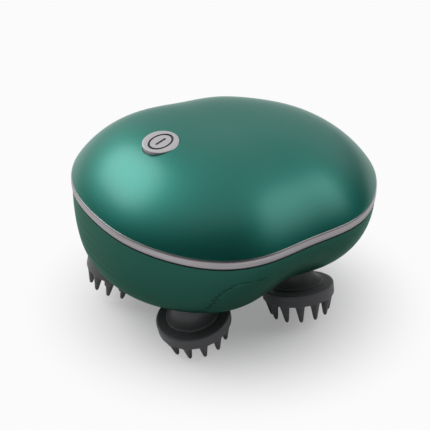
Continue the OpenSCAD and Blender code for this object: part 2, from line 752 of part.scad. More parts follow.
top_cover();
trim_ring();
parting_seal();
lower_casing();
collar_front_left();
collar_front_right();
collar_rear_left();
collar_rear_right();
lip_seals();
lower_bushes();
upper_bushes();
lower_plate();
upper_plate();
lower_standoffs();
upper_standoffs();
plate_screws();
screw_pillars();
case_screws();
sun_axle();
gearbox_housing();
gearbox_screws();
motor_can();
motor_end_cap();
battery_cell();
battery_cradle();
main_board();
board_posts();
control_chip();
capacitors();
contact_block();
charge_contacts();
dock_magnets();
button_guide();
switch_board();
tact_switch();
button_cap();
button_plunger();
motor_pinion();
sun_gear();
carrier_front_left();
carrier_front_right();
carrier_rear_left();
carrier_rear_right();
spindle_front_left();
spindle_front_right();
spindle_rear_left();
spindle_rear_right();
gear_front_left();
gear_front_right();
gear_rear_left();
gear_rear_right();
head_front_left();
head_front_right();
head_rear_left();
head_rear_right();
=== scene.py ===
import json
import math
import bmesh
import bpy
from mathutils import Matrix, Vector


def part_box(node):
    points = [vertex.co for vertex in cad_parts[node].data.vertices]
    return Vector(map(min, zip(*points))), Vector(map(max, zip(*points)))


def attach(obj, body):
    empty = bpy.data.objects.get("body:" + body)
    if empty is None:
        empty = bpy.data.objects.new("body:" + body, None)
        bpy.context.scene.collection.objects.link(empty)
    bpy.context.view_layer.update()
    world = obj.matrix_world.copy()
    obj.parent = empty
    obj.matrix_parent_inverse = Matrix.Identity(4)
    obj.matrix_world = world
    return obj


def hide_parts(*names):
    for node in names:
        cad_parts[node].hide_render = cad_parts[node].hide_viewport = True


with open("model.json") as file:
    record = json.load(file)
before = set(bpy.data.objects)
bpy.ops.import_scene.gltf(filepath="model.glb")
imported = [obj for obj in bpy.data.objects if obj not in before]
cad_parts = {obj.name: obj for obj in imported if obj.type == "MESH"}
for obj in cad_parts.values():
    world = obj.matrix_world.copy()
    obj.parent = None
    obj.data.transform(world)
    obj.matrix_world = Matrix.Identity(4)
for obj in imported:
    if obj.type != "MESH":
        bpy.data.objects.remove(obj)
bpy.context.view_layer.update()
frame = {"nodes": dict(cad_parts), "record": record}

bl_info = {
    "name": "Scalp Massager Dressing",
    "version": (1, 0, 0),
    "blender": (4, 5, 0),
    "location": "3D View > Sidebar > Massager",
    "description": "Dresses the packed scalp massager with smooth shells, soft heads and finishes",
    "category": "Object",
}

MM = 0.001
TAU = 2 * math.pi
# Direction in degrees that each head leans in
HEAD_LEANS = {"front_left": 13, "front_right": 88, "rear_right": 193, "rear_left": 342}
# Middles of the case screws' recesses, in millimetres from the outline centre
SCREW_RECESSES = ((-6.5, 26.6), (-6.5, -26.6), (-44, 0), (45, 0))
# The picture's width and the camera's focal length, both in pixels
PICTURE_PX = 430
FOCAL_PX = 1100
# The point that the lights face, about the middle of the object
LIT_POINT = Vector((0, 0, 45)) * MM
# The camera's place in millimetres from the outline centre, and the way it looks
EYE = Vector((-195.5, -313.6, 189.45))
AHEAD = Vector((0.4561, 0.7473, -0.4833))


# ---------------------------------------------------------------- settings

def length(name, description, millimetres):
    """A size property given in millimetres and kept in metres."""
    return bpy.props.FloatProperty(name=name, description=description, default=millimetres * MM,
                                   min=0.0, unit="LENGTH", precision=5)


def share(name, description, value):
    """A plain number that is never negative."""
    return bpy.props.FloatProperty(name=name, description=description, default=value,
                                   min=0.0, max=10.0)


def angle(name, description, degrees):
    """An angle property given in degrees and kept in radians."""
    return bpy.props.FloatProperty(name=name, description=description,
                                   default=math.radians(degrees), subtype="ANGLE")


def number(name, description, value):
    return bpy.props.IntProperty(name=name, description=description, default=value, min=1)


def power(name, watts):
    return bpy.props.FloatProperty(name=name, description="Power", default=watts, unit="POWER")


def srgb(code):
    """Linear colour of an sRGB hex value such as '#1f6f5c'."""
    parts = [int(code[i:i + 2], 16) / 255 for i in (1, 3, 5)]
    linear = [p / 12.92 if p <= 0.04045 else ((p + 0.055) / 1.055) ** 2.4 for p in parts]
    return (*linear, 1.0)


def colour(name, description, code):
    """A colour property given as an sRGB hex value."""
    return bpy.props.FloatVectorProperty(name=name, description=description, subtype="COLOR",
                                         size=4, min=0.0, max=1.0, default=srgb(code))


class ShellSettings(bpy.types.PropertyGroup):
    body_r: length("Body radius", "Mean radius of the outline at the trim", 57)
    oval: length("Oval", "Two-lobed wave of the outline", 0.4)
    taper: length("Taper", "Three-lobed wave of the outline", 2.2)
    square: length("Square", "Four-lobed wave of the outline", 1.4)
    lobes: length("Lobes", "Six-lobed wave of the outline", 0.85)
    flats: length("Flats", "Eight-lobed wave of the outline", 0.35)
    wall: length("Wall", "Thickness of both shells", 2)
    dome_h: length("Dome height", "Height of the cover above the trim", 22.5)
    crown: share("Crown", "How flat the crown is", 3.3)
    shoulder: share("Shoulder", "How square the shoulder is", 1.1)
    depth: length("Depth", "Depth of the underside below the trim", 27)
    roll: length("Roll", "How far the wall rolls inwards", 12)
    base_oval: length("Base oval", "How much longer than wide the underside is", 8.9)
    base_nose: length("Base nose", "How much the underside follows the taper", 1.9)
    nose_round: length("Nose round", "How much the nose is rounded off below the trim", 3.5)
    depth_power: share("Depth power", "Curve of the wall in height", 1.053)
    roll_power: share("Roll power", "Curve of the wall inwards", 1.25)
    scoop_drop: length("Scoop drop", "Height below the trim of the scoop's upper edge", 8.2)
    scoop_d: length("Scoop depth", "Depth of the side scoops", 0.9)
    crease_d: length("Crease depth", "Depth of the crease round the side scoops", 0.8)
    rib_h: length("Rib height", "Height of the grip ribs", 0.13)
    rib_pitch: length("Rib pitch", "Spacing of the grip ribs", 3.2)
    trim_h: length("Trim height", "Height of the trim band", 3.4)
    trim_proud: length("Trim proud", "How far the trim stands proud", 0.35)
    seal_t: length("Seal", "Thickness of the parting seal", 0.4)
    cover_colour: colour("Cover", "Emerald coating of the cover", "#207c70")
    casing_colour: colour("Casing", "Green coating of the lower casing", "#1c5a4c")
    trim_colour: colour("Trim", "Satin trim band", "#b5b0b3")
    seal_colour: colour("Seal", "Dark parting seal", "#5a2a31")


class HeadSettings(bpy.types.PropertyGroup):
    lean: angle("Lean", "Lean of each head", 13)
    pivot: length("Pivot", "Depth of the lean point below the trim", 28)
    rim_r: length("Rim radius", "Radius of the rim", 13.8)
    rim_top: length("Rim top", "Depth of the rim top below the lean point", 9)
    rim_t: length("Rim thickness", "Thickness of the rim", 4.8)
    bell_r: length("Foot radius", "Radius of the flared foot of the neck", 9.8)
    neck_r: length("Neck radius", "Radius of the neck", 6.4)
    prong_len: length("Prong length", "Length of the prongs", 7.3)
    root_r: length("Root radius", "Radius of a prong at its root", 2.1)
    tip_r: length("Tip radius", "Radius of a prong's tip", 0.75)
    tip_in: length("Tip in", "How far a rim prong's tip leans inwards", 0.7)
    inner_r: length("Inner ring", "Radius of the inner ring of prongs", 6)
    outer: number("Rim prongs", "Prongs on the rim", 12)
    inner: number("Inner prongs", "Prongs inside the rim", 6)
    silicone: colour("Silicone", "Soft heads", "#69696c")
    collar: colour("Collar", "Moulded collars", "#39393b")


class ButtonSettings(bpy.types.PropertyGroup):
    radius: length("Radius", "Radius of the button", 6.75)
    proud: length("Proud", "How far the button stands proud", 0.9)
    thickness: length("Thickness", "Thickness of the cap", 2.6)
    gap: length("Gap", "Gap round the button", 0.2)
    back: length("Back", "Distance of the button from the outline centre", 26.7)
    pitch: angle("Pitch", "Lean to the wide end", 9.5)
    roll: angle("Roll", "Lean to the side", 7.5)
    mark_turn: angle("Mark turn", "Turn of the engraved mark", 12)
    groove: length("Groove", "Depth of the engraving", 0.35)
    metal: colour("Metal", "Brushed button", "#d2d0d3")
    fill: colour("Fill", "Dark fill of the engraving", "#4c4c4f")


class StageSettings(bpy.types.PropertyGroup):
    floor: length("Floor", "Half width of the floor", 4000)
    floor_colour: colour("Floor", "Pale floor", "#f4f4f4")
    left: power("Left light", 1.9)
    fill: power("Front light", 0.12)
    wall: share("Wall light", "Brightness of the pale room above and behind", 0.7)
    side: share("Side light", "Extra brightness of the room to the right", 1.9)
    room: share("Room light", "Brightness of the rest of the room", 0.03)


GROUPS = {"massager_shell": ShellSettings, "massager_heads": HeadSettings,
          "massager_button": ButtonSettings, "massager_stage": StageSettings}


# ---------------------------------------------------------------- materials

def add(tree, kind, values=None, links=None, **settings):
    """Adds a node with its settings, its input values and its links."""
    node = tree.nodes.new(kind)
    for key, value in settings.items():
        setattr(node, key, value)
    for key, value in (values or {}).items():
        node.inputs[key].default_value = value
    for key, source in (links or {}).items():
        tree.links.new(source[0].outputs[source[1]], node.inputs[key])
    return node


def material(name):
    """A new material's tree, with its Principled shader already on the output."""
    made = bpy.data.materials.new(name)
    made.use_nodes = True
    tree = made.node_tree
    tree.nodes.clear()
    shader = add(tree, "ShaderNodeBsdfPrincipled")
    add(tree, "ShaderNodeOutputMaterial", links={"Surface": (shader, "BSDF")})
    return made, tree, shader


def millimetre_coords(tree, stretch=(1, 1, 1)):
    """Object coordinates counted in millimetres."""
    coords = add(tree, "ShaderNodeTexCoord")
    scale = [s / MM for s in stretch]
    return add(tree, "ShaderNodeMapping", {"Scale": scale}, {"Vector": (coords, "Object")})


def grain(tree, shader, size_mm, depth_mm, stretch=(1, 1, 1), detail=2.0):
    """A noise bump whose grains are size_mm across and depth_mm deep."""
    place = millimetre_coords(tree, stretch)
    noise = add(tree, "ShaderNodeTexNoise", {"Scale": 1 / size_mm, "Detail": detail},
                {"Vector": (place, 0)})
    bump = add(tree, "ShaderNodeBump", {"Strength": 1.0, "Distance": depth_mm * MM},
               {"Height": (noise, 0)})
    tree.links.new(bump.outputs[0], shader.inputs["Normal"])
    return noise


def tint(tree, shader, base, other, factor):
    """Mixes two colours by a pattern and feeds the shader's base colour."""
    mix = add(tree, "ShaderNodeMix", {6: base, 7: other}, {0: (factor, 0)}, data_type="RGBA")
    tree.links.new(mix.outputs[2], shader.inputs["Base Color"])


def scaled(tone, amount):
    """A colour made darker or lighter by this share."""
    return (*[c * amount for c in tone[:3]], 1.0)


def set_inputs(shader, **values):
    """Sets a shader's inputs by their names, with _ for each space."""
    for key, value in values.items():
        shader.inputs[key.replace("_", " ")].default_value = value


def coating(name, tone, roughness, metallic, coat, coat_roughness):
    """Metallic lacquer sprayed on moulded ABS: a coloured flake layer under a satin clear coat."""
    made, tree, shader = material(name)
    # Real flakes are about 0.05 mm, drawn at 0.3 mm so that they show
    noise = grain(tree, shader, 0.3, 0.0016, detail=1.0)
    tint(tree, shader, scaled(tone, 0.93), scaled(tone, 1.07), noise)
    set_inputs(shader, Metallic=metallic, Roughness=roughness, Coat_Weight=coat,
               Coat_Roughness=coat_roughness, Specular_Tint=srgb("#74c8b6"))
    return made


def satin_band(name, tone):
    """Plated trim, brushed along the band: a soft metal sheen with long light and dark streaks."""
    made, tree, shader = material(name)
    # Brush lines are about 0.1 mm, drawn at 0.8 mm so that they show
    noise = grain(tree, shader, 0.8, 0.003, stretch=(0.03, 0.03, 1))
    tint(tree, shader, scaled(tone, 0.55), scaled(tone, 1.2), noise)
    set_inputs(shader, Metallic=1.0, Roughness=0.36)
    return made


def silicone(name, tone, roughness=0.5):
    """Moulded silicone rubber: matte with a soft sheen, and dust-fine speckle."""
    made, tree, shader = material(name)
    noise = grain(tree, shader, 0.6, 0.006)
    tint(tree, shader, scaled(tone, 0.88), scaled(tone, 1.1), noise)
    set_inputs(shader, Roughness=roughness, IOR=1.43, Sheen_Weight=0.15, Sheen_Roughness=0.5)
    return made


def moulded(name, tone, roughness=0.45, size_mm=0.5, depth_mm=0.008):
    """Injection-moulded plastic with a light spark-eroded texture."""
    made, tree, shader = material(name)
    noise = grain(tree, shader, size_mm, depth_mm)
    tint(tree, shader, scaled(tone, 0.92), tone, noise)
    set_inputs(shader, Roughness=roughness, IOR=1.5)
    return made


def turned_metal(name, tone, roughness=0.3, stretch=(1, 1, 12)):
    """Machined metal with fine tool lines round the piece."""
    made, tree, shader = material(name)
    noise = grain(tree, shader, 0.8, 0.003, stretch=stretch)
    tint(tree, shader, scaled(tone, 0.85), tone, noise)
    set_inputs(shader, Metallic=1.0, Roughness=roughness)
    return made


def brushed_button(name, tone):
    """Aluminium disc brushed across, so that it shows fine straight lines."""
    made, tree, shader = material(name)
    # Brush lines are about 0.05 mm, drawn at 0.1 mm so that they show
    noise = grain(tree, shader, 1 / 1.2, 0.004, stretch=(0.5, 9, 0.5), detail=3.0)
    tint(tree, shader, scaled(tone, 0.88), tone, noise)
    set_inputs(shader, Metallic=0.75, Roughness=0.42)
    return made


def circuit(name, tone):
    """Glass-epoxy board under a solder mask, with faint copper runs."""
    made, tree, shader = material(name)
    place = millimetre_coords(tree)
    pattern = {"Color1": tone, "Color2": scaled(tone, 0.8), "Mortar": scaled(tone, 1.7),
               "Scale": 0.5, "Mortar Size": 0.04}
    runs = add(tree, "ShaderNodeTexBrick", pattern, {"Vector": (place, 0)})
    tree.links.new(runs.outputs["Color"], shader.inputs["Base Color"])
    set_inputs(shader, Roughness=0.35)
    return made


def dress(obj, made):
    """Gives an object this one material."""
    obj.data.materials.clear()
    obj.data.materials.append(made)


def smooth(mesh, degrees):
    """Shades a mesh smooth, with sharp edges where faces meet at more than this angle."""
    mesh.polygons.foreach_set("use_smooth", [True] * len(mesh.polygons))
    mesh.set_sharp_from_angle(angle=math.radians(degrees))


# ---------------------------------------------------------------- shapes

def middle(box):
    """Middle of a box."""
    return (Vector(box[0]) + Vector(box[1])) / 2


# How far the sun gear and the heads sit behind the outline centre
HEADS_BACK = 6.5 * MM
SUN = middle(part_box("sun_gear"))
# The centre that the outline is drawn from, at the middle of the trim band
MID = Vector((SUN[0] + HEADS_BACK, SUN[1], middle(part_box("trim_ring"))[2]))


def outline(s, a):
    """Radius of the outline at angle a."""
    return (s.body_r + s.oval * math.cos(2 * a) + s.taper * math.cos(3 * a)
            - s.square * math.cos(4 * a) + s.lobes * math.cos(6 * a) - s.flats * math.cos(8 * a))


def dome_z(s, ratio, inset=0.0):
    """Height of the cover above the trim's middle at this share of the way out to its edge."""
    flat = max(0.0, 1 - ratio ** s.crown)
    return s.trim_h / 2 + (s.dome_h - inset) * flat ** (1 / s.shoulder)


def bowl(s, a, q):
    """Radius and height of the lower casing at angle a, from its rim at q 0 to its flat at q 1."""
    ang = q * math.pi / 2
    down = math.sin(ang) ** s.depth_power
    inwards = 1 - max(0.0, math.cos(ang)) ** s.roll_power
    top = -s.trim_h / 2 - s.seal_t
    wave = (s.base_oval * math.cos(2 * a) + s.base_nose * math.cos(3 * a)
            - s.nose_round * max(0.0, math.cos(a)) ** 16)
    return outline(s, a) - s.roll * inwards + wave * down ** 1.5, top - (s.depth + top) * down


def ease(x):
    """Runs smoothly from 0 at x 0 to 1 at x 1."""
    t = min(1.0, max(0.0, x))
    return t * t * (3 - 2 * t)


def scoop(s, side, height):
    """Depth of a side scoop with the crease round it, side degrees off the nose and height mm up.

    The scoop fades in from the nose, ends at a back edge that moves back further down, and has
    its upper edge at a nearly level line. The two edges meet in a round corner."""
    nose_side, nose_fade = 64, 14
    back_side, back_from, back_slope = 121, -9, 0.5
    level_side, level_slope = 100, 0.03
    corner, edge_width = 6, 1.5
    base_gap, base_fade = 1, 5
    from_back = back_side + max(0.0, back_from - height) * back_slope - side
    from_top = (level_side - side) * level_slope - s.scoop_drop / MM - height
    inside = corner - math.hypot(max(0.0, corner - from_back), max(0.0, corner - from_top))
    step = ease(inside / edge_width + 0.5)
    fade = ease((side - nose_side) / nose_fade)
    fade *= ease((height + s.depth / MM - base_gap) / base_fade)
    return (s.scoop_d * step + s.crease_d * 4 * step * (1 - step)) * fade


def grip_ribs(s, side, height):
    """Rise of the level grip ribs that fade in round the wide end."""
    first, count = -8, 4
    end_side, end_fade = 156, 15
    turn = (first - height) / (s.rib_pitch / MM)
    if not 0 < turn < count:
        return 0.0
    return s.rib_h * math.sin(math.pi * turn) ** 2 * ease((side - end_side) / end_fade)


def loft(name, rings, start=None, end=None):
    """A mesh through rings of points, closed at its ends by the points start and end."""
    mesh = bmesh.new()
    rows = [[mesh.verts.new(p) for p in ring] for ring in rings]
    count = len(rows[0])
    for low, high in zip(rows, rows[1:]):
        for i in range(count):
            j = (i + 1) % count
            mesh.faces.new((low[i], low[j], high[j], high[i]))
    for point, row in ((start, rows[0]), (end, rows[-1])):
        if point is not None:
            tip = mesh.verts.new(point)
            for i in range(count):
                mesh.faces.new((tip, row[i], row[(i + 1) % count]))
    bmesh.ops.recalc_face_normals(mesh, faces=mesh.faces)
    data = bpy.data.meshes.new(name)
    mesh.to_mesh(data)
    mesh.free()
    return data


def piece(name, data):
    """A new object in the scene with this data."""
    obj = bpy.data.objects.new(name, data)
    bpy.context.scene.collection.objects.link(obj)
    return obj


def turned(profile, steps, place=Matrix.Identity(4)):
    """Rings of a turned piece from (radius, height) pairs."""
    return [[place @ Vector((r * math.cos(TAU * i / steps), r * math.sin(TAU * i / steps), z))
             for i in range(steps)] for r, z in profile]


def rod(place, radius, heights, steps):
    """A closed round rod along the z axis of place, with a ring at each height."""
    return loft("rod", turned([(radius, z) for z in heights], steps, place),
                place @ Vector((0, 0, heights[0])), place @ Vector((0, 0, heights[-1])))


def upright(point):
    """Matrix that moves the z axis over to this point, with its heights as they are."""
    return Matrix.Translation((point[0], point[1], 0))


def rounded(profile, radius, parts=4):
    """Rounds each inner corner of a (radius, height) profile."""
    out = [profile[0]]
    for before, corner, after in zip(profile, profile[1:], profile[2:]):
        b, c, a = Vector(before), Vector(corner), Vector(after)
        reach = min(radius, (b - c).length * 0.45, (a - c).length * 0.45)
        p, q = c + (b - c).normalized() * reach, c + (a - c).normalized() * reach
        for k in range(parts + 1):
            t = k / parts
            out.append(tuple(p * (1 - t) ** 2 + c * 2 * t * (1 - t) + q * t * t))
    out.append(profile[-1])
    return out


def carve(obj, cutters, name):
    """Cuts closed shapes out of obj and returns the result as a plain mesh."""
    tool = piece("cutter", cutters)
    cut = obj.modifiers.new("carve", "BOOLEAN")
    cut.object = tool
    cut.solver = "EXACT"
    bpy.context.view_layer.update()
    graph = bpy.context.evaluated_depsgraph_get()
    result = bpy.data.meshes.new_from_object(obj.evaluated_get(graph))
    obj.modifiers.clear()
    old = obj.data
    obj.data = result
    result.name = name
    bpy.data.meshes.remove(old)
    bpy.data.objects.remove(tool)
    return result


def merged(meshes, name):
    """One mesh from several."""
    together = bmesh.new()
    for data in meshes:
        together.from_mesh(data)
    out = bpy.data.meshes.new(name)
    together.to_mesh(out)
    together.free()
    return out


def button_place(s, b):
    """Matrix of the button's own leaning frame, with its origin on the cover."""
    ratio = b.back / outline(s, math.pi)
    origin = MID + Vector((-b.back, 0, dome_z(s, ratio)))
    return (Matrix.Translation(origin) @ Matrix.Rotation(-b.pitch, 4, "Y")
            @ Matrix.Rotation(b.roll, 4, "X"))


def around(count):
    """Angles at even steps round a full turn."""
    return [TAU * i / count for i in range(count)]


# ---------------------------------------------------------------- operators

class MASSAGER_OT_top_cover(bpy.types.Operator):
    """Builds the smooth domed cover with the hole for the button"""
    bl_idname = "massager.top_cover"
    bl_label = "Top Cover"

    def execute(self, context):
        s = context.scene.massager_shell
        b = context.scene.massager_button
        steps, rows = 256, 56

        def ring(ratio, inset):
            out = []
            z = dome_z(s, ratio, inset)
            for a in around(steps):
                r = (outline(s, a) - inset) * ratio
                out.append(MID + Vector((r * math.cos(a), r * math.sin(a), z)))
            return out
        ratios = [math.sin(math.pi / 2 * i / rows) for i in range(1, rows + 1)]
        rings = [ring(q, 0.0) for q in ratios]
        rings += [ring(q, s.wall) for q in reversed(ratios[::4])]
        data = loft("top_cover_shell", rings, MID + Vector((0, 0, dome_z(s, 0))),
                    MID + Vector((0, 0, dome_z(s, 0, s.wall))))
        obj = piece("top_cover_shell", data)
        drill = rod(button_place(s, b), b.radius + b.gap, (-6 * MM, 0, 5 * MM), 96)
        smooth(carve(obj, drill, "top_cover_shell"), 35)
        dress(obj, coating("emerald_lacquer_on_abs", s.cover_colour, 0.45, 0.95, 0.7, 0.28))
        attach(obj, "casing")
        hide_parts("top_cover")
        return {"FINISHED"}


class MASSAGER_OT_trim(bpy.types.Operator):
    """Builds the crowned trim band and finishes the parting seal"""
    bl_idname = "massager.trim"
    bl_label = "Trim Band"

    def execute(self, context):
        s = context.scene.massager_shell
        half, inner = s.trim_h / 2, -1.2 * MM
        # Section of the band: proud of the shells in its middle, with soft edges
        profile = rounded([(inner, half), (-0.02 * MM, half), (s.trim_proud, half * 0.55),
                           (s.trim_proud, -half * 0.6), (0.0, -half), (inner, -half)],
                          0.5 * MM)
        rings = []
        for out, z in profile:
            ring = []
            for a in around(320):
                r = outline(s, a) + out
                ring.append(MID + Vector((r * math.cos(a), r * math.sin(a), z)))
            rings.append(ring)
        rings.append(rings[0])
        data = loft("trim_band", rings)
        mesh = bmesh.new()
        mesh.from_mesh(data)
        bmesh.ops.remove_doubles(mesh, verts=mesh.verts, dist=1e-7)
        bmesh.ops.recalc_face_normals(mesh, faces=mesh.faces)
        mesh.to_mesh(data)
        mesh.free()
        smooth(data, 50)
        obj = piece("trim_band", data)
        dress(obj, satin_band("satin_plated_trim", s.trim_colour))
        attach(obj, "casing")
        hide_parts("trim_ring")
        dress(frame["nodes"]["parting_seal"], silicone("parting_seal_rubber", s.seal_colour))
        return {"FINISHED"}


class MASSAGER_OT_lower_casing(bpy.types.Operator):
    """Builds the lower casing with its side scoops and grip ribs"""
    bl_idname = "massager.lower_casing"
    bl_label = "Lower Casing"

    def execute(self, context):
        s = context.scene.massager_shell
        steps, rows, inner_every = 320, 144, 12
        top = -s.trim_h / 2 - s.seal_t
        inner_inset = s.wall + s.scoop_d

        def ring(points, inset=0.0, squash=1.0):
            out = []
            for a, (r, z) in zip(around(steps), points):
                x, y = (r - inset) * math.cos(a), (r - inset) * math.sin(a)
                out.append(MID + Vector((x, y, top + (z - top) * squash)))
            return out

        def surface(a, q):
            r, z = bowl(s, a, q)
            side = math.degrees(abs(math.atan2(math.sin(a), math.cos(a))))
            return r - scoop(s, side, z / MM) + grip_ribs(s, side, z / MM), z
        shares = [i / rows for i in range(rows + 1)]
        rings = [ring([surface(a, q) for a in around(steps)]) for q in reversed(shares)]
        # The inside is the plain bowl, drawn in by the wall and lifted off the base by it
        squash = (s.depth + top - s.wall) / (s.depth + top)
        rings += [ring([bowl(s, a, q) for a in around(steps)], inner_inset, squash)
                  for q in shares[::inner_every]]
        flat = -s.depth
        data = loft("lower_casing_shell", rings, MID + Vector((0, 0, flat)),
                    MID + Vector((0, 0, flat + s.wall)))
        obj = piece("lower_casing_shell", data)

        # Holes for the collars and the contact block, and the case screws' recesses
        low = MID[2] + flat - 2 * MM
        collar_top, collar_gap = MID[2] - 18 * MM, 0.1 * MM
        high = MID[2] + flat + s.wall + 1 * MM
        cuts = []
        for node in ["collar_" + key for key in HEAD_LEANS]:
            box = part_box(node)
            r = (box[1][0] - box[0][0]) / 2 + collar_gap
            cuts.append(rod(upright(middle(box)), r, (low, collar_top), 96))
        block = upright(middle(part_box("contact_block")))
        cuts.append(rod(block, 8.1 * MM, (low, high), 64))
        for x, y in SCREW_RECESSES:
            spot = upright(MID + Vector((x, y, 0)) * MM)
            cuts.append(rod(spot, 2.5 * MM, (low, high), 32))
        smooth(carve(obj, merged(cuts, "cuts"), "lower_casing_shell"), 35)
        dress(obj, coating("green_lacquer_on_abs", s.casing_colour, 0.42, 0.9, 0.3, 0.35))
        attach(obj, "casing")
        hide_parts("lower_casing")
        return {"FINISHED"}


def head_place(h, key):
    """Matrix of a head's own leaning frame, with its origin at the lean point."""
    origin = middle(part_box("spindle_" + key))
    origin[2] = MID[2] - h.pivot
    turn = math.radians(HEAD_LEANS[key])
    return (Matrix.Translation(origin) @ Matrix.Rotation(turn, 4, "Z")
            @ Matrix.Rotation(h.lean, 4, "Y"))


def prong_tree():
    """Geometry Nodes tree: a ring of tapered prongs with soft roots and round tips."""
    tree = bpy.data.node_groups.new("prong_ring", "GeometryNodeTree")
    face = tree.interface
    sizes = [("Count", "NodeSocketInt", 12), ("Ring Radius", "NodeSocketFloat", 0.0116),
             ("Length", "NodeSocketFloat", 0.0067), ("Root Radius", "NodeSocketFloat", 0.0021),
             ("Lean", "NodeSocketFloat", 0.1), ("Turn", "NodeSocketFloat", 0.0),
             ("Material", "NodeSocketMaterial", None)]
    for name, kind, value in sizes:
        socket = face.new_socket(name, in_out="INPUT", socket_type=kind)
        if value is not None:
            socket.default_value = value
    face.new_socket("Prongs", in_out="OUTPUT", socket_type="NodeSocketGeometry")
    source = add(tree, "NodeGroupInput")
    # One prong: a straight spine that runs down from a little inside the rim
    down = add(tree, "ShaderNodeMath", {1: -1.0}, {0: (source, "Length")}, operation="MULTIPLY")
    foot = add(tree, "ShaderNodeCombineXYZ", links={"Z": (down, 0)})
    spine = add(tree, "GeometryNodeCurvePrimitiveLine", {"Start": (0, 0, 0.0004)},
                {"End": (foot, 0)})
    points = add(tree, "GeometryNodeResampleCurve", {"Count": 22}, {"Curve": (spine, 0)})
    along = add(tree, "GeometryNodeSplineParameter")
    taper = add(tree, "ShaderNodeFloatCurve", links={"Value": (along, "Factor")})
    curve = taper.mapping.curves[0]
    # Share of the root's radius at each share of the length
    knots = [(0, 1.0), (0.08, 0.93), (0.18, 0.83), (0.5, 0.61), (0.8, 0.42), (0.88, 0.36),
             (0.94, 0.27), (0.98, 0.16), (1, 0.02)]
    while len(curve.points) < len(knots):
        curve.points.new(0.5, 0.5)
    for point, (x, y) in zip(curve.points, knots):
        point.location = (x, y)
        point.handle_type = "AUTO_CLAMPED"
    taper.mapping.update()
    thick = add(tree, "ShaderNodeMath", links={0: (taper, 0), 1: (source, "Root Radius")},
                operation="MULTIPLY")
    ring = add(tree, "GeometryNodeCurvePrimitiveCircle", {"Resolution": 20, "Radius": 1.0})
    shaped = add(tree, "GeometryNodeSetCurveRadius",
                 links={"Curve": (points, 0), "Radius": (thick, 0)})
    prong = add(tree, "GeometryNodeCurveToMesh", {"Fill Caps": True},
                {"Curve": (shaped, 0), "Profile Curve": (ring, 0)})
    # In this version the thickness of the prong comes from the Scale input
    if "Scale" in prong.inputs:
        radius = add(tree, "GeometryNodeInputRadius")
        tree.links.new(radius.outputs[0], prong.inputs["Scale"])
    # A point for each prong on a circle, each turned to face outwards
    dots = add(tree, "GeometryNodePoints", links={"Count": (source, "Count")})
    number = add(tree, "GeometryNodeInputIndex")
    part = add(tree, "ShaderNodeMath", links={0: (number, 0), 1: (source, "Count")},
               operation="DIVIDE")
    angle = add(tree, "ShaderNodeMath", {1: TAU}, {0: (part, 0), 2: (source, "Turn")},
                operation="MULTIPLY_ADD")
    cosine = add(tree, "ShaderNodeMath", links={0: (angle, 0)}, operation="COSINE")
    sine = add(tree, "ShaderNodeMath", links={0: (angle, 0)}, operation="SINE")
    round_trip = add(tree, "ShaderNodeCombineXYZ", links={"X": (cosine, 0), "Y": (sine, 0)})
    where = add(tree, "ShaderNodeVectorMath",
                links={0: (round_trip, 0), "Scale": (source, "Ring Radius")}, operation="SCALE")
    placed = add(tree, "GeometryNodeSetPosition",
                 links={"Geometry": (dots, 0), "Position": (where, 0)})
    facing = add(tree, "ShaderNodeCombineXYZ", links={"Y": (source, "Lean"), "Z": (angle, 0)})
    turn = add(tree, "FunctionNodeEulerToRotation", links={0: (facing, 0)})
    copies = add(tree, "GeometryNodeInstanceOnPoints",
                 links={"Points": (placed, 0), "Instance": (prong, 0), "Rotation": (turn, 0)})
    real = add(tree, "GeometryNodeRealizeInstances", links={"Geometry": (copies, 0)})
    dressed = add(tree, "GeometryNodeSetMaterial",
                  links={"Geometry": (real, 0), "Material": (source, "Material")})
    add(tree, "NodeGroupOutput", links={0: (dressed, 0)})
    return tree


def grow(tree, name, inputs):
    """Runs a Geometry Nodes tree with these inputs and returns its result as a plain mesh."""
    holder = piece(name, bpy.data.meshes.new(name))
    nodes = holder.modifiers.new("grow", "NODES")
    nodes.node_group = tree
    for item in tree.interface.items_tree:
        if item.in_out == "INPUT" and item.name in inputs:
            nodes[item.identifier] = inputs[item.name]
    bpy.context.view_layer.update()
    graph = bpy.context.evaluated_depsgraph_get()
    data = bpy.data.meshes.new_from_object(holder.evaluated_get(graph))
    holder.modifiers.clear()
    bpy.data.objects.remove(holder)
    return data


